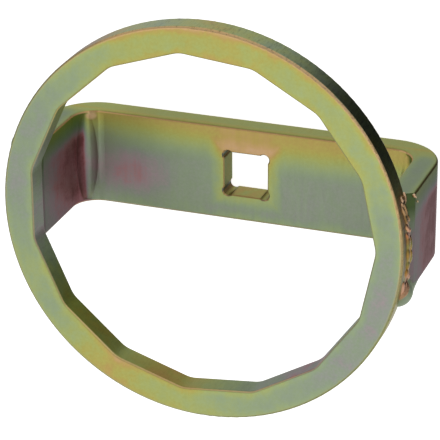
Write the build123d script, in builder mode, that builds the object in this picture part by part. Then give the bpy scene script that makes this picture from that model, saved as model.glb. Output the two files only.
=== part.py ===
"""Oil filter cap wrench: a fluted steel ring welded onto a bridge bent from flat bar, with a square drive hole.

Z up, millimetres. The origin is on the drive axis, on the underside of the bridge's base, so the wrench
stands on its base with the ring on top. X runs along the bridge and Y across the bar.
"""

import os

from build123d import *

# Ring: the fluted socket that slips over the end of the filter can
ring_diameter = 113.0
flute_count = 15
across_flats = 96.0
flute_corner_radius = 7.0
ring_thickness = 7.0
ring_edge_radius = 0.6

# Bridge: one length of flat bar, pressed into a U on a brake
overall_height = 45.0
bar_width = 28.0
bar_thickness = 7.0
bridge_width = 113.0
outer_bend_radius = 14.0
inner_bend_radius = 7.0
bar_edge_radius = 0.8
bevel_height = 3.6
bevel_width = 6.4

# The brake's nose bites into the inside of each bend, deepest in the middle of the bar
nose_radius = 3.5
nose_end_radius = 2.3
nose_length = 26.0

# Drive hole for the square of a half inch ratchet, with relieved corners
drive_square = 12.8
relief_radius = 1.5
relief_inset = 1.1
drive_edge_break = 0.3

# Weld over the outside of each joint, from the leg's near edge to its far edge, in angle about the ring
weld_start_angle = 13.0
weld_end_angle = -15.5
bead_low = 35.2
bead_high = 42.0
bead_bulge = 0.7

# Frozen pools laid one over the next along the bead, each a leaning rod with round ends
ripple_count = 11
ripple_radius = 1.35
ripple_length = 6.4
ripple_lean = 38.0
ripple_sink = 0.35
ripple_height = 38.8
ripple_overrun = 1.6

# Where the weld turns round the far edge of the leg it piles up under the ring
blob_radius = 4.5
blob_x = 52.7
blob_y = -13.7
blob_z = 36.7

# Below the pile-up the weld metal runs down the leg's corner and tapers off
taper_radius = 4.3
taper_tip_radius = 0.9
taper_length = 10.5
taper_direction = (2.7, 0.5, -10.2)

ring_back = overall_height - ring_thickness
inner_width = bridge_width - 2 * bar_thickness
rim_radius = ring_diameter / 2
bead_root = inner_width / 2 + 1.0
bead_middle = (bead_low + bead_high) / 2
nose_x = inner_width / 2 - nose_radius
nose_z = bar_thickness + nose_radius

# The ring is cut from plate and keeps its full thickness right round
with BuildPart() as fluted_ring:
    with BuildSketch(Plane.XY.offset(ring_back)):
        Circle(rim_radius)
    extrude(amount=ring_thickness)
    with BuildSketch(Plane.XY.offset(ring_back)) as flute_outline:
        RegularPolygon(across_flats / 2, flute_count, major_radius=False)
        fillet(flute_outline.vertices(), flute_corner_radius)
    extrude(amount=ring_thickness, mode=Mode.SUBTRACT)
    fillet(fluted_ring.edges().filter_by(Plane.XY), ring_edge_radius)

# A barrel shaped tool for the nose's bite, fatter in the middle so that the bite closes to a point at each end
with BuildPart() as nose_mark:
    with BuildSketch():
        with BuildLine():
            side_low = (nose_end_radius, -nose_length / 2)
            side_high = (nose_end_radius, nose_length / 2)
            Polyline(side_high, (0, nose_length / 2), (0, -nose_length / 2), side_low)
            ThreePointArc(side_low, (nose_radius, 0), side_high)
        make_face()
    revolve(axis=Axis.Y)

# The bridge is a U of flat bar, with its leg ends ground to a slope that the weld fills
with BuildPart() as bridge_strap:
    with BuildSketch(Plane.XZ) as outer_view:
        with Locations((0, ring_back / 2)):
            Rectangle(bridge_width, ring_back)
        fillet(outer_view.vertices().group_by(Axis.Y)[0], outer_bend_radius)
    extrude(amount=bar_width / 2, both=True)
    with BuildSketch(Plane.XZ):
        with BuildLine():
            bevel_foot = (rim_radius, ring_back - bevel_height)
            bevel_top = (rim_radius - bevel_width, ring_back)
            Polyline(bevel_foot, (rim_radius, ring_back), bevel_top, bevel_foot)
        make_face()
        mirror(about=Plane.YZ)
    extrude(amount=bar_width / 2, both=True, mode=Mode.SUBTRACT)
    with BuildSketch(Plane.XZ) as inner_view:
        with Locations((0, bar_thickness + ring_back / 2)):
            Rectangle(inner_width, ring_back)
        fillet(inner_view.vertices().group_by(Axis.Y)[0], inner_bend_radius)
    extrude(amount=bar_width / 2, both=True, mode=Mode.SUBTRACT)

    # The bar's four long edges are rounded as rolled; its sheared ends stay sharp
    side_edges = bridge_strap.faces().filter_by(Axis.Y).edges()
    fillet(side_edges.filter_by_position(Axis.Z, 0, ring_back - 2 * bevel_height / 3), bar_edge_radius)
    with Locations((nose_x, 0, nose_z), (-nose_x, 0, nose_z)):
        add(nose_mark.part, mode=Mode.SUBTRACT)

    # Square drive hole through the base, on the ring's axis
    with BuildSketch():
        Rectangle(drive_square, drive_square)
        with GridLocations(drive_square - 2 * relief_inset, drive_square - 2 * relief_inset, 2, 2):
            Circle(relief_radius)
    extrude(amount=bar_thickness, mode=Mode.SUBTRACT)
    drive_walls = bridge_strap.edges().filter_by(Plane.XY).filter_by_position(Axis.X, -8, 8)
    chamfer(drive_walls.filter_by_position(Axis.Y, -8, 8), drive_edge_break)

# One ripple of weld metal, a short rounded rod lying across the joint
with BuildPart() as ripple:
    Cylinder(ripple_radius, ripple_length - 2 * ripple_radius)
    fillet(ripple.edges().filter_by(GeomType.CIRCLE), 0.98 * ripple_radius)

# The smooth body of the bead, which fills the bevel and stands a little proud of the rim
with BuildPart() as bead_body:
    with BuildSketch(Plane.XZ):
        with BuildLine():
            Polyline((rim_radius, bead_low), (bead_root, bead_low), (bead_root, bead_high), (rim_radius, bead_high))
            ThreePointArc((rim_radius, bead_high), (rim_radius + bead_bulge, bead_middle), (rim_radius, bead_low))
        make_face()
    revolve(axis=Axis.Z, revolution_arc=weld_start_angle - weld_end_angle)

# The right hand weld: body, pile-up and ripples, less the steel that it is fused to
with BuildPart() as weld_right:
    add(bead_body.part, rotation=(0, 0, weld_end_angle))
    with Locations((blob_x, blob_y, blob_z)):
        Sphere(blob_radius)
    with Locations(Plane((blob_x, blob_y, blob_z), z_dir=taper_direction)):
        Cone(taper_radius, taper_tip_radius, taper_length, align=(Align.CENTER, Align.CENTER, Align.MIN))
    with Locations((inner_width / 2, 0, blob_z)):
        Box(10, 3 * bar_width, 30, align=(Align.MAX, Align.CENTER, Align.CENTER), mode=Mode.SUBTRACT)
    ripple_arc = weld_start_angle + ripple_overrun - weld_end_angle
    with PolarLocations(rim_radius - ripple_sink, ripple_count, weld_end_angle, ripple_arc, endpoint=True):
        with Locations((0, 0, ripple_height)):
            add(ripple.part, rotation=(ripple_lean, 0, 0))
    add(fluted_ring.part, mode=Mode.SUBTRACT)
    add(bridge_strap.part, mode=Mode.SUBTRACT)

# The wrench is turned half round on the bench for the second joint, so its weld is the first one turned
with BuildPart() as weld_left:
    add(weld_right.part, rotation=(0, 0, 180))

fluted_ring.part.label = "fluted_ring"
bridge_strap.part.label = "bridge_strap"
weld_right.part.label = "weld_right"
weld_left.part.label = "weld_left"

os.makedirs("parts", exist_ok=True)
export_step(fluted_ring.part, "parts/fluted_ring.step")
export_step(bridge_strap.part, "parts/bridge_strap.step")
export_step(weld_right.part, "parts/weld_right.step")
export_step(weld_left.part, "parts/weld_left.step")
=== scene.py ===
# %% [markdown]
# # An oil filter cap wrench, finished in Blender
# The real wrench is a fluted ring cut from thick plate, welded by its back onto a bridge bent from flat bar.
# The bridge has a square hole in its base for a half inch ratchet. The whole thing was then zinc plated and dipped
# in a yellow passivate, which leaves a film of uneven thickness that shines green, gold, pink and grey.
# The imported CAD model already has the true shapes, so this script keeps the ring and the bridge, gives them that
# finish, and models the two welds again, because a run of weld metal is too lumpy for CAD.

import math
import random

import bmesh
import bpy
import numpy as np
from mathutils import Matrix, Vector, noise


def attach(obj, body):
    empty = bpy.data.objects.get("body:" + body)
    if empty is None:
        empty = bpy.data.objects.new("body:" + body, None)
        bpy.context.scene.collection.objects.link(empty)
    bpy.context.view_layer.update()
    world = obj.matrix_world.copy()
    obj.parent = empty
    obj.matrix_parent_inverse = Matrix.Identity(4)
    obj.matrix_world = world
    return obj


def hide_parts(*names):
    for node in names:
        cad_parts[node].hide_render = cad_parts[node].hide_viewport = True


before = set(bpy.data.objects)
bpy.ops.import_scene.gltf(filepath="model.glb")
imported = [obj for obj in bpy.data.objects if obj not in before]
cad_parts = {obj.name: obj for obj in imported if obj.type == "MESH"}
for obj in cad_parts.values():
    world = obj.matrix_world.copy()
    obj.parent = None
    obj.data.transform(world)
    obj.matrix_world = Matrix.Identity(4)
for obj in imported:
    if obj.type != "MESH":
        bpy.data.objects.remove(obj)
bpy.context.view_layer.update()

# %% [markdown]
# ## The camera
# The picture was taken with a long lens from above and to one side, so the ring hides part of the bridge and the
# far side of everything is only a little smaller than the near side. The place, the turn and the lens come from
# fitting a camera to the ring's outline, its flutes, the bridge and the hole.

# %% Place the camera
camera_data = bpy.data.cameras.new("studio_camera")
camera_data.sensor_width = 36.0
camera_data.lens = 200.358
camera = bpy.data.objects.new("studio_camera", camera_data)
camera.location = (0.210117, 0.267465, 0.600621)
camera.rotation_euler = (-0.421996, 0.348984, -0.006601)
bpy.context.scene.collection.objects.link(camera)
bpy.context.scene.camera = camera
print("camera", camera_data.lens, "mm lens at", tuple(round(v, 3) for v in camera.location))

# %% [markdown]
# ## Shader maths as Python
# Every finish here is made of fields: how far a point is from an edge, which way it faces, how thick the film is.
# Wiring those by hand is hard to read, so one small class wraps the output of a node. Adding or multiplying two of
# them adds a Math node, and the finish class below makes every other kind of node in one way.

# %% One class for a node's output
class Wire:
    """The output of a node, which can be used in sums as if it were a number."""

    def __init__(self, finish, socket):
        self.finish = finish
        self.socket = socket

    def math(self, operation, *values):
        return self.finish.node("ShaderNodeMath", {"operation": operation}, dict(enumerate(values)))

    def __add__(self, other):
        return self.math("ADD", self, other)

    def __radd__(self, other):
        return self.math("ADD", other, self)

    def __sub__(self, other):
        return self.math("SUBTRACT", self, other)

    def __rsub__(self, other):
        return self.math("SUBTRACT", other, self)

    def __mul__(self, other):
        return self.math("MULTIPLY", self, other)

    def __rmul__(self, other):
        return self.math("MULTIPLY", other, self)

    def __truediv__(self, other):
        return self.math("DIVIDE", self, other)

    def __pow__(self, other):
        return self.math("POWER", self, other)

    def __neg__(self):
        return self.math("MULTIPLY", self, -1.0)

    def __abs__(self):
        return self.math("ABSOLUTE", self)

    def ease(self, start, end):
        """0 before start, 1 after end, with a soft step between them."""
        settings = {"interpolation_type": "SMOOTHSTEP"}
        return self.finish.node("ShaderNodeMapRange", settings, {"Value": self, "From Min": start, "From Max": end})

    def line(self, start, end, low=0.0, high=1.0):
        """low at start, high at end, in a straight line between them."""
        sockets = {"Value": self, "From Min": start, "From Max": end, "To Min": low, "To Max": high}
        return self.finish.node("ShaderNodeMapRange", {}, sockets)


# %% One class for a finish
class Finish:
    """A node material or a world, and the one way in which its nodes are made."""

    def __init__(self, tree):
        self.tree = tree
        self.tree.nodes.clear()

    def node(self, kind, settings, sockets, out=0):
        made = self.tree.nodes.new(kind)
        for name, value in settings.items():
            if name == "stops":
                self.set_stops(made.color_ramp, value)
            else:
                setattr(made, name, value)
        for name, value in sockets.items():
            if isinstance(value, Wire):
                self.tree.links.new(value.socket, made.inputs[name])
            else:
                made.inputs[name].default_value = value
        return Wire(self, made.outputs[out]) if made.outputs else made

    def set_stops(self, ramp, stops):
        while len(ramp.elements) < len(stops):
            ramp.elements.new(0.5)
        for element, (place, colour) in zip(ramp.elements, stops):
            element.position = place
        for element, (place, colour) in zip(ramp.elements, stops):
            element.color = (*colour, 1.0)

    def mix(self, factor, a, b, blend="MIX"):
        """Two colours mixed by a factor."""
        settings = {"data_type": "RGBA", "blend_type": blend}
        return self.node("ShaderNodeMix", settings, {0: factor, 6: a, 7: b}, out=2)


def colour(red, green, blue):
    """A colour as a picture shows it, 0 to 255, turned into the light values that shaders use."""
    def light(v):
        v = v / 255
        return v / 12.92 if v < 0.04045 else ((v + 0.055) / 1.055) ** 2.4
    return (light(red), light(green), light(blue), 1.0)


MM = 0.001
print("shader helpers ready")

# %% [markdown]
# ## Fields that every finish starts from
# A finish needs to know where a point is and which way it faces. Both are read in the object's own space, so the
# pattern stays on the metal whatever the camera does.

# %% Position, facing and noise
def place(finish):
    """x, y and z of the point in millimetres."""
    point = finish.node("ShaderNodeTexCoord", {}, {}, out="Object")
    split = [finish.node("ShaderNodeSeparateXYZ", {}, {0: point}, out=k) for k in range(3)]
    return point, [s * 1000.0 for s in split]


def facing(finish):
    """The way that the surface faces, and its x, y and z."""
    normal = finish.node("ShaderNodeNewGeometry", {}, {}, out="Normal")
    return normal, [finish.node("ShaderNodeSeparateXYZ", {}, {0: normal}, out=k) for k in range(3)]


def cloud(finish, point, size, stretch=(1.0, 1.0, 1.0), shift=(0.0, 0.0, 0.0), detail=3.0, rough=0.5):
    """Noise from 0 to 1 whose blotches are about size millimetres across, drawn out where stretch is above 1."""
    scale = tuple(1.0 / (size * MM * s) for s in stretch)
    moved = finish.node("ShaderNodeMapping", {"vector_type": "POINT"}, {0: point, "Scale": scale, "Location": shift})
    sockets = {"Vector": moved, "Scale": 1.0, "Detail": detail, "Roughness": rough}
    return finish.node("ShaderNodeTexNoise", {"noise_dimensions": "3D"}, sockets)


def spot(x, y, centre, size):
    """1 at the centre of a soft oval stain and 0 outside it. Centre and size are in millimetres."""
    far = ((x - centre[0]) / size[0]) ** 2.0 + ((y - centre[1]) / size[1]) ** 2.0
    return 1.0 - far.ease(0.0, 1.0)


def by_angle(finish, x, y, stops):
    """A value that changes round the axis. Each stop is an angle from +X in degrees and the value there."""
    angle = x.math("ARCTAN2", y, x).line(-math.pi, math.pi)
    greys = tuple(((degrees + 180.0) / 360.0, (value, value, value)) for degrees, value in stops)
    ramp = finish.node("ShaderNodeValToRGB", {"stops": greys}, {0: angle})
    return ramp + 0.0


print("fields ready")

# %% [markdown]
# ## The passivate film
# Yellow passivate is a thin clear film over bright zinc. Its colour depends on how thick it is: palest and pinkest on
# sharp edges where it drained thin, then gold, yellow, green, grey, and at last mauve and brown red where it pooled.
# So the finish is one number, the film, run through one ramp. Every face gets its colours by making the film
# thicker or thinner, which is how the real one got them.

# %% The film's colours, thin to thick
FILM = (
    (0.00, colour(222, 184, 150)),
    (0.10, colour(204, 168, 116)),
    (0.20, colour(190, 164, 94)),
    (0.30, colour(182, 174, 92)),
    (0.40, colour(172, 178, 104)),
    (0.50, colour(164, 176, 118)),
    (0.60, colour(153, 169, 128)),
    (0.70, colour(146, 160, 134)),
    (0.79, colour(149, 153, 143)),
    (0.87, colour(162, 144, 148)),
    (0.94, colour(172, 124, 128)),
    (1.00, colour(142, 88, 90)),
)


def film_colour(finish, film):
    stops = tuple((place_, tuple(c[:3])) for place_, c in FILM)
    return finish.node("ShaderNodeValToRGB", {"stops": stops}, {0: film})


def dim(finish, shade, amount):
    """A colour made darker: amount 1 leaves it, 0 makes it black."""
    grey = amount if isinstance(amount, Wire) else (amount, amount, amount, 1.0)
    return finish.mix(1.0, shade, grey, blend="MULTIPLY")


def metal(name, build):
    """A plated steel material. build(finish) gives its colour, roughness, metallic and height fields and its normal."""
    material = bpy.data.materials.new(name)
    material.use_nodes = True
    finish = Finish(material.node_tree)
    base, rough, metallic, height, normal = build(finish)
    bump = finish.node("ShaderNodeBump", {}, {"Strength": 1.0, "Distance": 0.05 * MM, "Height": height, "Normal": normal})
    sockets = {"Base Color": base, "Metallic": metallic, "Roughness": rough, "Normal": bump}
    shader = finish.node("ShaderNodeBsdfPrincipled", {}, sockets)
    finish.node("ShaderNodeOutputMaterial", {}, {"Surface": shader})
    print("material", name, "has", len(material.node_tree.nodes), "nodes")
    return material


# %% [markdown]
# ## The ring's finish
# The ring was cut from plate. Its face keeps the mill's smooth skin, so the film shows clear bands: yellow along the
# outline and the flutes, grey green between them. Its rim was cut and is rougher, with fine lines through the
# thickness. The film drained thin on the two rounded edges, and pink gold highlights are painted along them as well.

# %% Ring material
RIM = 56.5
FLAT = 48.0
FLUTE = math.radians(24.0)


FACE_FILM = (
    (-180, 0.70), (-160, 0.56), (-146, 0.58), (-120, 0.26), (-106, 0.38), (-80, 0.54), (-58, 0.68), (-38, 0.75),
    (-12, 0.79), (4, 0.66), (28, 0.50), (60, 0.43), (80, 0.36), (105, 0.38), (125, 0.54), (146, 0.69), (180, 0.70),
)
RIM_FILM = (
    (-180, 0.55), (-40, 0.50), (-22, 0.30), (0, 0.28), (14, 0.18), (22, 0.50), (45, 0.62), (72, 0.56),
    (88, 0.30), (102, 0.58), (118, 0.20), (134, 0.10), (150, 0.55), (180, 0.55),
)
FLUTE_FILM = (
    (-180, 0.74), (-167, 0.79), (-156, 0.56), (-143, 0.42), (-132, 0.38), (-118, 0.42), (-106, 0.24), (-94, 0.30),
    (-82, 0.50), (-70, 0.72), (-58, 0.86), (-46, 0.84), (-34, 0.66), (20, 0.65), (144, 0.34), (160, 0.72),
)
# Painted shade on the flute walls, by angle: 0 leaves a wall as it is, higher values darken it more.
FLUTE_WALL_SHADE = (
    (-180, 0.0), (-164, 0.0), (-154, 0.5), (-142, 0.7), (-130, 0.6), (-118, 0.3), (-104, 0.6), (-90, 0.5),
    (-72, 0.4), (-46, 0.4), (150, 0.6), (164, 0.3), (180, 0.0),
)


def ring_finish(finish):
    point, (x, y, z) = place(finish)
    normal, (nx, ny, nz) = facing(finish)
    radius = (x * x + y * y) ** 0.5
    angle = x.math("ARCTAN2", y, x)
    fold = angle.math("WRAP", angle - FLUTE / 2, FLUTE / 2, -FLUTE / 2)
    to_flute = radius * fold.math("COSINE", fold) - FLAT
    to_rim = RIM - radius
    flat_face = abs(nz).ease(0.75, 0.97)
    edge = abs(nz).ease(0.15, 0.45) * (1.0 - flat_face)
    outside = radius.ease(54.0, 55.5)
    wall = 1.0 - flat_face

    drift = cloud(finish, point, 15.0, detail=2.0) - 0.5
    mottle = cloud(finish, point, 4.0, shift=(5.0, 2.0, 0.0), detail=3.0) - 0.5
    streak = cloud(finish, point, 1.2, stretch=(1.0, 6.0, 1.0), detail=3.0) - 0.5
    speck = cloud(finish, point, 0.8, detail=3.0, rough=0.7) - 0.5
    near_flute = 1.0 - (to_flute + mottle * 1.6).ease(0.1, 2.8)
    near_rim = 1.0 - (to_rim + mottle * 1.6).ease(0.3, 2.9)
    right = by_angle(finish, x, y, ((-180, 0.0), (-20, 0.0), (12, 1.0), (112, 1.0), (150, 0.0), (180, 0.0)))
    face_film = by_angle(finish, x, y, FACE_FILM) + drift * 0.24 + mottle * 0.24 + streak * 0.08 + speck * 0.16
    face_film = face_film - near_flute * 0.13 - near_rim * (0.06 + right * 0.14)

    rim_film = by_angle(finish, x, y, RIM_FILM) + mottle * 0.5
    flute_film = by_angle(finish, x, y, FLUTE_FILM) + drift * 0.2 + mottle * 0.35
    wall_film = flute_film * (1.0 - outside) + rim_film * outside
    shade = film_colour(finish, face_film * flat_face + wall_film * wall)
    # Painted shade: the flute walls and the rim are darkened to a deeper, more saturated copy of their film colour, the
    # flutes more at some angles.
    depth = by_angle(finish, x, y, FLUTE_WALL_SHADE) * (1.0 - outside) + outside * 0.25
    shade = finish.mix(wall * (1.0 - edge) * depth, shade, dim(finish, shade, shade))
    # Painted highlight, partly thin film: a pale band along the rim's edges and just inside the face's outline.
    line = (to_rim + speck).ease(0.95, 0.45) * flat_face
    rim_edge_glint = finish.mix(right, colour(176, 176, 122), colour(226, 184, 138))
    # Painted highlight: a pink gold glint along the inner edges of the flutes, weaker or missing at some angles.
    glint = 1.0 - by_angle(finish, x, y, ((-180, 0.4), (-150, 0.4), (-130, 0.0), (-72, 0.0), (-40, 0.6), (180, 0.4)))
    shade = finish.mix(edge * outside * 0.8 + line * 0.7, shade, rim_edge_glint)
    shade = finish.mix(edge * (1.0 - outside) * glint * 0.7, shade, colour(232, 196, 140))

    cut = cloud(finish, point, 0.6, stretch=(1.0, 1.0, 5.0), detail=4.0, rough=0.7)
    grain = cloud(finish, point, 0.35, detail=3.0, rough=0.6)
    soot = (cut - 0.48).ease(0.0, 0.25) * wall * (outside + 0.4) * 0.35
    # Painted shadow: a dark band on the rim just above each weld, along the weld's upper edge.
    toe_shadow = (abs(z - 42.8).ease(0.9, 0.3)) * outside * wall * abs(y).ease(10.0, 7.0)
    shade = finish.mix((soot + toe_shadow * 0.7).math("MINIMUM", soot + toe_shadow * 0.7, 0.8), shade, colour(46, 38, 26))
    # Painted light: the face is made a little lighter towards +X and +Y and darker on the opposite side.
    painted_light_slope = (x * 0.87 + y * 0.5) * (0.06 / RIM)
    # Painted shade: the rim is darkened between about 120 and 240 degrees from +X.
    far_rim_shade = by_angle(finish, x, y, ((-180, 0.4), (-120, 0.0), (114, 0.0), (130, 0.5), (150, 0.5), (180, 0.4))) * outside * wall
    shade = dim(finish, shade, 1.0 + speck * 0.26 + mottle * 0.08 + painted_light_slope * flat_face - far_rim_shade)
    rough = 0.36 + (grain - 0.5) * 0.10 - wall * outside * 0.06 + streak * 0.06
    height = grain * 0.35 + cut * wall * 1.0
    metallic = 1.0 - flat_face * 0.2 - wall * (1.0 - outside) * 0.25
    return shade, rough, metallic, height, normal


ring_metal = metal("yellow_passivate_plate", ring_finish)

# %% [markdown]
# ## The bridge's finish
# The bridge is rolled bar. The film ran along it in fine streaks across the bar, thin and gold along the edge that
# hung uppermost and around the drive hole, thick and pink to maroon by the bends, where the bath pooled.

# %% Bridge material
HALF_BAR = 14.0
HALF_SPAN = 56.5


def bridge_finish(finish):
    point, (x, y, z) = place(finish)
    normal, (nx, ny, nz) = facing(finish)
    base = nz.ease(0.6, 0.95)
    side = abs(ny).ease(0.6, 0.95)
    edge = abs(ny).ease(0.12, 0.4) * (1.0 - side)
    inward = -(nx * x.math("SIGN", x))
    inside = inward.ease(-0.3, 0.3)

    drift = cloud(finish, point, 13.0, detail=2.0) - 0.5
    mottle = cloud(finish, point, 4.0, shift=(2.0, 7.0, 1.0), detail=3.0) - 0.5
    streak = cloud(finish, point, 1.1, stretch=(1.0, 9.0, 1.0), detail=3.0) - 0.5
    speck = cloud(finish, point, 0.8, detail=3.0, rough=0.7) - 0.5
    wander = y + drift * 3.0 + streak * 1.6 + mottle * 2.4
    top_band = (wander - x.line(-42.0, 6.0, 2.8, 0.0)).ease(0.0, 13.8 - 1.4)
    low_band = (1.0 - wander.ease(-14.5, -10.0)) * x.ease(-22.0, 4.0).line(0.0, 1.0, 0.35, 1.0)

    hole_far = x.math("MAXIMUM", abs(x), abs(y)) - 6.4
    in_hole = 1.0 - hole_far.ease(0.25, 0.5)
    halo = (1.0 - (hole_far + mottle * 2.4).ease(0.0, 5.2)) * y.ease(-12.0, 0.0).line(0.0, 1.0, 0.75, 1.0)
    above = (1.0 - (abs(x) + mottle * 2.0).ease(6.0, 9.5)) * y.ease(5.0, 8.0)
    pink = spot(x + mottle * 4.0, y + mottle * 3.0, (-35.0, -3.5), (17.0, 9.0)) * 0.13
    pink = pink + spot(x + mottle * 4.0, y + mottle * 3.0, (-34.0, -4.0), (8.0, 5.0)) * 0.03
    base_film = 0.725 + drift * 0.10 + mottle * 0.09 + streak * 0.09
    base_film = base_film - top_band * 0.50 - low_band * 0.18 - halo * 0.32 - above * 0.06 + pink

    down = 1.0 - z.ease(18.0, 36.0)
    leg_film = 0.82 + drift * 0.12 + mottle * 0.12 + streak * 0.06 + down * 0.17 - inside * 0.02
    leg_film = leg_film - y.ease(5.0, 14.0) * 0.36 * (1.0 + down * 0.4) - (1.0 - y.ease(-14.0, -9.0)) * down * 0.05
    side_film = 0.40 + z.ease(6.0, 14.0) * 0.28 + drift * 0.10 + mottle * 0.14
    leg_side = 1.0 - abs(abs(x) - 53.0).ease(0.8, 3.6)
    side_film = side_film - z.ease(6.0, 14.0) * (1.0 - leg_side) * 0.18 - z.ease(7.0, 5.6) * (z - 4.4).ease(0.0, 1.6) * 0.1
    wall_film = 0.42 + mottle * 0.5 - ny.ease(0.5, 0.9) * 0.12

    leg = (1.0 - base) * (1.0 - side)
    film = base_film * base + side_film * side * (1.0 - in_hole) + leg_film * leg * (1.0 - in_hole)
    film = film + wall_film * in_hole * (1.0 - base)
    bevel = z.ease(33.4, 34.4) * (1.0 - side)
    film = film * (1.0 - bevel) + (0.84 - y.ease(0.0, 10.0) * 0.2 + mottle * 0.2) * bevel + speck * 0.12
    shade = film_colour(finish, film)
    side_or_hole = (side + in_hole * (1.0 - base)).math("MINIMUM", side + in_hole * (1.0 - base), 1.0)
    # Painted shade: the top edges, the hole walls, the legs' inner faces and upper edges, and the bevel are darkened to
    # a deeper copy of their film colour.
    shady = bevel * (0.25 + y.ease(4.0, 11.0) * 0.75)
    depth = side_or_hole * 0.25 + leg * (1.0 - in_hole) * (inside * 0.5 + y.ease(7.0, 12.5) * 0.5) + shady
    shade = finish.mix(depth.math("MINIMUM", depth, 1.0), shade, dim(finish, shade, shade))
    # Painted highlight along the edges of the base, the inner legs and the hole's rim, and painted shade as a dark line
    # along the legs' outer edges.
    hole_edge = in_hole * nz.ease(0.3, 0.6) * (1.0 - base)
    edge_glint_and_shade = (edge * (1.0 - bevel) + hole_edge).math("MINIMUM", edge + hole_edge, 1.0) * 0.75
    edge_glint_and_shade = edge_glint_and_shade * y.ease(-14.5, -12.0).line(0.0, 1.0, 0.3, 1.0)
    shade = finish.mix(edge_glint_and_shade, shade, finish.mix(base.math("MAXIMUM", base, inside), colour(130, 100, 60), colour(222, 176, 128)))
    # Painted highlight: a pale spot at the top of the left bend.
    bend_highlight = spot(x, y, (-46.0, 12.4), (1.8, 1.6)) * z.ease(10.0, 8.6) * (1.0 - side)
    shade = finish.mix(bend_highlight * 0.8, shade, colour(240, 200, 160))
    # Painted shade: dark spots in the four corners of the drive hole.
    corner = 1.0 - (((abs(x) - 5.3) ** 2.0 + (abs(y) - 5.3) ** 2.0) ** 0.5).ease(0.8, 2.0)
    shade = finish.mix(corner * in_hole * (1.0 - base) * 0.75, shade, colour(40, 32, 16))
    # Painted light: the base and the legs' inner faces are lightened towards the left bend, low down.
    painted_bend_light = x.ease(-30.0, -44.0) * base.math("MAXIMUM", base, inside) * z.ease(9.5, 7.5) * y.ease(-10.0, 2.0) * 0.34
    shade = dim(finish, shade, 1.0 + speck * 0.22 + mottle * 0.06 + painted_bend_light)

    # The brake's nose left the steel in its bite nearly level with the base, so it is shaded that way
    bite = (abs(x) - 44.0).ease(0.0, 0.5) * (abs(x) - 46.2).ease(1.0, 0.0) * z.ease(8.6, 8.0) * inside * (1.0 - side)
    level = finish.node("ShaderNodeMix", {"data_type": "VECTOR"}, {0: bite * 0.85, 4: normal, 5: (0.0, 0.0, 1.0)}, out=1)
    level = finish.node("ShaderNodeVectorMath", {"operation": "NORMALIZE"}, {0: level})

    grain = cloud(finish, point, 0.4, stretch=(1.0, 4.0, 1.0), detail=3.0, rough=0.6)
    rough = 0.46 + (grain - 0.5) * 0.12 + streak * 0.08
    metallic = 1.0 - base * 0.2 - leg * inside * 0.2
    return shade, rough, metallic, grain * 0.5, level


bridge_metal = metal("yellow_passivate_bar", bridge_finish)

# %% Put both finishes on their CAD parts
for node, material in (("fluted_ring", ring_metal), ("bridge_strap", bridge_metal)):
    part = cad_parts[node]
    part.data.materials.clear()
    part.data.materials.append(material)
    print(node, "has", len(part.data.polygons), "faces and wears", material.name)

# %% [markdown]
# ## The floor and the light
# A pale sweep lies under the wrench. Bright metal is only as good as what it mirrors: faces that look up see a large
# soft box, and faces that look sideways see the floor, pale on one side and dark on the other, where a black card
# stands. The world carries that picture, and the floor itself is left out of the mirror so that it can stay white.

# %% Floor
floor_mesh = bpy.data.meshes.new("floor")
floor_bm = bmesh.new()
bmesh.ops.create_grid(floor_bm, x_segments=1, y_segments=1, size=6.0)
floor_bm.to_mesh(floor_mesh)
floor_bm.free()
floor = bpy.data.objects.new("floor", floor_mesh)
bpy.context.scene.collection.objects.link(floor)
floor.location = (0.0, 0.0, -0.0002)
floor.visible_glossy = False

floor_material = bpy.data.materials.new("pale_sweep")
floor_material.use_nodes = True
sweep = Finish(floor_material.node_tree)
paper = sweep.node("ShaderNodeBsdfPrincipled", {}, {
    "Base Color": (0.86, 0.86, 0.86, 1.0), "Roughness": 0.9, "Specular IOR Level": 0.1,
    "Emission Color": (1.0, 1.0, 1.0, 1.0), "Emission Strength": 0.80})
sweep.node("ShaderNodeOutputMaterial", {}, {"Surface": paper})
floor_mesh.materials.append(floor_material)
print("floor laid")

# %% Studio light
world = bpy.data.worlds.new("studio")
bpy.context.scene.world = world
world.use_nodes = True
air = Finish(world.node_tree)
way = air.node("ShaderNodeTexCoord", {}, {}, out="Generated")
wx, wy, wz = [air.node("ShaderNodeSeparateXYZ", {}, {0: way}, out=k) for k in range(3)]
above = (wz - wx.ease(0.3, 0.8) * 0.45).ease(-0.15, 0.15)
across = wy - 0.15
across = across.math("MAXIMUM", across, across * -0.8)
card = (((wx - 0.52) ** 2.0 + across ** 2.0) ** 0.5).ease(0.24, 0.68)
below = (0.01 + card * 0.71) * (1.0 - wx.ease(-0.3, -0.6) * wy.ease(0.2, -0.1) * 0.4)
strength = above * 0.55 + (1.0 - above) * below
sky = air.node("ShaderNodeBackground", {}, {"Color": (1.0, 1.0, 1.0, 1.0), "Strength": strength})
air.node("ShaderNodeOutputWorld", {}, {"Surface": sky})


def soft_box(name, location, size, power):
    light = bpy.data.lights.new(name, "AREA")
    light.shape = "SQUARE"
    light.size = size
    light.energy = power
    box = bpy.data.objects.new(name, light)
    box.location = location
    box.rotation_euler = (Vector((0.0, 0.0, 0.02)) - Vector(location)).to_track_quat("-Z", "Y").to_euler()
    bpy.context.scene.collection.objects.link(box)
    print(name, power, "W,", size, "m across")
    return box


soft_box("key_box", (-0.42, -0.54, 1.10), 1.1, 2.3)
soft_box("fill_box", (0.9, 0.7, 1.2), 0.8, 1.5)

scene = bpy.context.scene
scene.view_settings.view_transform = "Standard"
scene.view_settings.look = "None"
scene.view_settings.exposure = 0.0
scene.view_settings.gamma = 1.0

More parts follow.
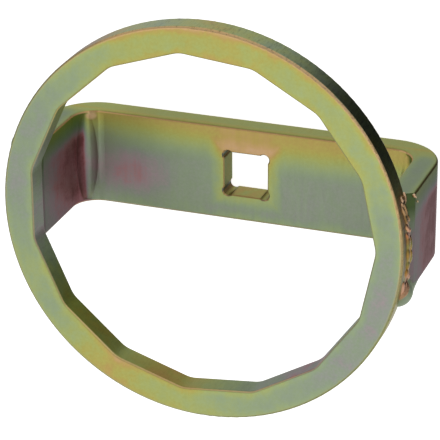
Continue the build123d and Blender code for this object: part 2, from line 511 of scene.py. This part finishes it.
# %% [markdown]
# ## The welds
# Each joint was closed with one run of weld along the rim, from the leg's near edge to its far edge. The arc lays
# down one small pool after another, and each freezes half over the last, so the bead is a rope of leaning lobes.
# A sculptor would push them out of clay one by one. Here every pool is an egg shape pressed into the joint. A voxel
# remesh melts the eggs into one skin, and a little smoothing rounds the creases between them.

# %% Egg shapes placed about the ring's axis
def on_rim(degrees, radius, height):
    """A point in millimetres, from its angle about the axis, its distance from the axis and its height."""
    a = math.radians(degrees)
    return Vector((radius * math.cos(a), radius * math.sin(a), height))


def rim_axes(degrees, lean):
    """Three directions: along the rim, across it and out of it, the first two turned by lean degrees."""
    a = math.radians(degrees)
    t = math.radians(lean)
    along = Vector((-math.sin(a), math.cos(a), 0.0))
    across = Vector((0.0, 0.0, 1.0))
    out = Vector((math.cos(a), math.sin(a), 0.0))
    return along * math.cos(t) + across * math.sin(t), across * math.cos(t) - along * math.sin(t), out


def egg(bm, centre, axes, halves):
    """One pool: a ball with the half sizes given along its own three directions."""
    turn = Matrix(axes).transposed().to_4x4()
    size = Matrix.Diagonal((*[h * MM for h in halves], 1.0))
    bmesh.ops.create_icosphere(bm, subdivisions=3, radius=1.0, matrix=Matrix.Translation(centre * MM) @ turn @ size)


# %% [markdown]
# ### Where each pool lies
# The root run fills the joint. Over it lie the pools that give the rope its look: a curl where the arc was struck,
# then thin strands, a pair of fat lobes, a smooth stretch where the hand moved evenly, two more fat lobes, and the
# long smooth one that turns the corner. A pool is its angle, height, half length, half width and lean.

# %% The pools, from the strike to the corner
POOLS = (
    (14.1, 37.9, 1.60, 0.55, -27.0),
    (14.7, 40.5, 1.10, 0.75, 20.0),
    (13.3, 41.3, 0.90, 0.50, 10.0),
    (11.3, 39.4, 2.40, 0.55, 14.0),
    (11.4, 41.2, 2.20, 0.70, 22.0),
    (8.9, 40.5, 2.20, 0.80, 24.0),
    (8.7, 38.3, 1.80, 0.65, 30.0),
    (6.5, 40.2, 1.80, 0.85, 40.0),
    (5.3, 38.5, 1.50, 0.80, 52.0),
    (4.3, 40.7, 1.70, 0.80, 34.0),
    (2.1, 39.9, 3.20, 1.40, 10.0),
    (1.0, 37.7, 2.80, 1.10, 8.0),
    (-1.6, 39.8, 2.80, 1.30, 14.0),
    (-2.8, 37.3, 2.60, 1.00, 14.0),
    (-4.7, 39.2, 2.30, 1.40, 20.0),
    (-7.3, 38.9, 2.60, 1.40, 44.0),
    (-9.3, 36.6, 2.40, 1.10, 48.0),
)


def lay_weld(bm):
    rng = random.Random(7)
    for k in range(30):
        degrees = 14.2 - k
        egg(bm, on_rim(degrees, 54.6, 39.0 + 0.2 * math.sin(k)), rim_axes(degrees, 0.0), (1.8, 3.2, 2.0))
    for degrees, height, long, wide, lean in POOLS:
        radius = 56.22 + rng.uniform(-0.06, 0.06)
        egg(bm, on_rim(degrees, radius, height), rim_axes(degrees, lean), (long, wide, 0.60 + 0.18 * wide))
    egg(bm, on_rim(-11.7, 56.0, 40.1), rim_axes(-11.7, 24.0), (3.4, 1.4, 1.1))
    egg(bm, on_rim(-13.2, 55.6, 39.0), rim_axes(-13.2, 12.0), (2.3, 1.75, 1.5))
    egg(bm, on_rim(-16.2, 55.4, 38.2), rim_axes(-16.2, 20.0), (1.4, 1.9, 1.5))
    for step in range(9):
        t = step / 8
        centre = Vector((53.1 + 2.7 * t, -13.7 + 0.7 * t, 36.9 - 10.0 * t))
        half = 4.3 - 3.6 * t ** 0.85
        egg(bm, centre, rim_axes(-14.0, 0.0), (half, half, half * 0.96))
    for degrees, radius, height, half in ((10.8, 56.6, 32.4, 0.36), (13.6, 56.5, 35.5, 0.55), (12.7, 56.6, 34.3, 0.34)):
        egg(bm, on_rim(degrees, radius / math.cos(math.radians(degrees)), height), rim_axes(0.0, 0.0), (half, half, half))


# %% [markdown]
# ### From eggs to one skin
# The remesh gives an even skin of small faces. Each joint's inside was dressed flush, so nothing passes the leg's inner
# face. The crease field, how far a point lies below the average of its surroundings, is worked out once from the mesh
# and kept on its points, so the finish can paint shade into the creases and paint highlights on the crowns.

# %% Build one weld
def read_points(mesh):
    """The points of a mesh and the way that the surface faces at each, as two tables."""
    points = np.empty(len(mesh.vertices) * 3)
    normals = np.empty(len(mesh.vertices) * 3)
    mesh.vertices.foreach_get("co", points)
    mesh.vertices.foreach_get("normal", normals)
    return points.reshape(-1, 3), normals.reshape(-1, 3)


def crease_depth(mesh, rounds=14):
    """For each point, how far it lies inside a smoothed copy of the surface, in millimetres."""
    points, normals = read_points(mesh)
    count = len(points)
    ends = np.empty(len(mesh.edges) * 2, dtype=np.int64)
    mesh.edges.foreach_get("vertices", ends)
    ends = ends.reshape(-1, 2)
    a, b = ends[:, 0], ends[:, 1]
    degree = np.bincount(a, minlength=count) + np.bincount(b, minlength=count)
    soft = points.copy()
    for _ in range(rounds):
        total = [np.bincount(a, soft[b, k], count) + np.bincount(b, soft[a, k], count) for k in range(3)]
        soft = 0.5 * soft + 0.5 * np.stack(total, axis=1) / degree[:, None]
    return ((soft - points) * normals).sum(axis=1) / MM


def weld_bead(name, turned):
    bm = bmesh.new()
    lay_weld(bm)
    mesh = bpy.data.meshes.new(name)
    bm.to_mesh(mesh)
    bm.free()
    piece = bpy.data.objects.new(name, mesh)
    bpy.context.scene.collection.objects.link(piece)
    melt = piece.modifiers.new("melt", "REMESH")
    melt.mode = "VOXEL"
    melt.voxel_size = 0.13 * MM
    settle = piece.modifiers.new("settle", "SMOOTH")
    settle.iterations = 5
    graph = bpy.context.evaluated_depsgraph_get()
    skin = bpy.data.meshes.new_from_object(piece.evaluated_get(graph))
    piece.modifiers.clear()
    piece.data = skin
    points, normals = read_points(skin)
    points[:, 0] = np.maximum(points[:, 0], 49.55 * MM)
    uneven = [noise.noise(Vector(p) * 900.0) * 0.035 + noise.noise(Vector(p) * 2400.0) * 0.015 for p in points]
    points += normals * np.array(uneven)[:, None] * MM
    skin.vertices.foreach_set("co", points.ravel())
    skin.update()
    depth = skin.attributes.new("crease", "FLOAT", "POINT")
    depth.data.foreach_set("value", crease_depth(skin))
    if turned:
        skin.transform(Matrix.Rotation(math.pi, 4, "Z"))
    skin.polygons.foreach_set("use_smooth", [True] * len(skin.polygons))
    print(name, "has", len(skin.polygons), "faces, box", [tuple(round(c * 1000, 1) for c in v) for v in piece.bound_box][::6])
    return piece


# %% [markdown]
# ### The weld's finish
# Weld metal is rougher than plate and took the film unevenly. The crowns are copper and pink with a painted highlight,
# the smooth middle is olive, and the creases are darkened brown with painted shade. Where the metal piled up at the
# corner it took the same grey green as the bar.

# %% Weld material
def weld_finish(finish):
    point, (x, y, z) = place(finish)
    normal, (nx, ny, nz) = facing(finish)
    side = x.math("SIGN", x)
    x, y = x * side, y * side
    crease = finish.node("ShaderNodeAttribute", {"attribute_name": "crease"}, {}, out="Fac")
    angle = x.math("ARCTAN2", y, x) * (180.0 / math.pi)
    blotch = cloud(finish, point, 2.4, detail=3.0) - 0.5
    fine = cloud(finish, point, 0.45, detail=4.0, rough=0.6)
    along = (angle + blotch * 3.0).line(-18.0, 16.0)
    stops = (
        (0.05, colour(150, 150, 100)[:3]),
        (0.12, colour(206, 162, 122)[:3]),
        (0.22, colour(222, 172, 140)[:3]),
        (0.29, colour(198, 136, 84)[:3]),
        (0.36, colour(176, 132, 52)[:3]),
        (0.42, colour(152, 146, 84)[:3]),
        (0.49, colour(188, 146, 74)[:3]),
        (0.58, colour(158, 148, 82)[:3]),
        (0.65, colour(196, 128, 82)[:3]),
        (0.71, colour(226, 172, 130)[:3]),
        (0.79, colour(140, 112, 66)[:3]),
        (0.88, colour(206, 166, 118)[:3]),
        (0.96, colour(222, 184, 148)[:3]),
    )
    rope = finish.node("ShaderNodeValToRGB", {"stops": stops}, {0: along})
    # Painted highlight: the crowns are lightened towards pale cream.
    rope = finish.mix((-crease).ease(0.03, 0.14) * 0.6, rope, colour(255, 232, 200))
    # Painted shade: the creases are darkened to brown.
    rope = finish.mix(crease.ease(0.0, 0.10) * 0.8, rope, colour(60, 38, 20))
    corner = (-angle - 13.2) * 0.9 + 39.4 - z + blotch * 1.2
    pile = corner.ease(-0.4, 0.4)
    bar = film_colour(finish, 0.66 + blotch * 0.3 + z.ease(34.0, 27.0) * 0.12)
    shade = finish.mix(pile, rope, bar)
    rough = 0.24 + (fine - 0.5) * 0.14 + crease.ease(0.0, 0.2) * 0.2 + pile * 0.12
    return shade, rough, 1.0 - pile * 0.35, fine * 0.5, normal


weld_metal = metal("yellow_passivate_weld", weld_finish)
for name, node, turned in (("bead_right", "weld_right", False), ("bead_left", "weld_left", True)):
    bead = weld_bead(name, turned)
    bead.data.materials.clear()
    bead.data.materials.append(weld_metal)
    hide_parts(node)
    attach(bead, "root")
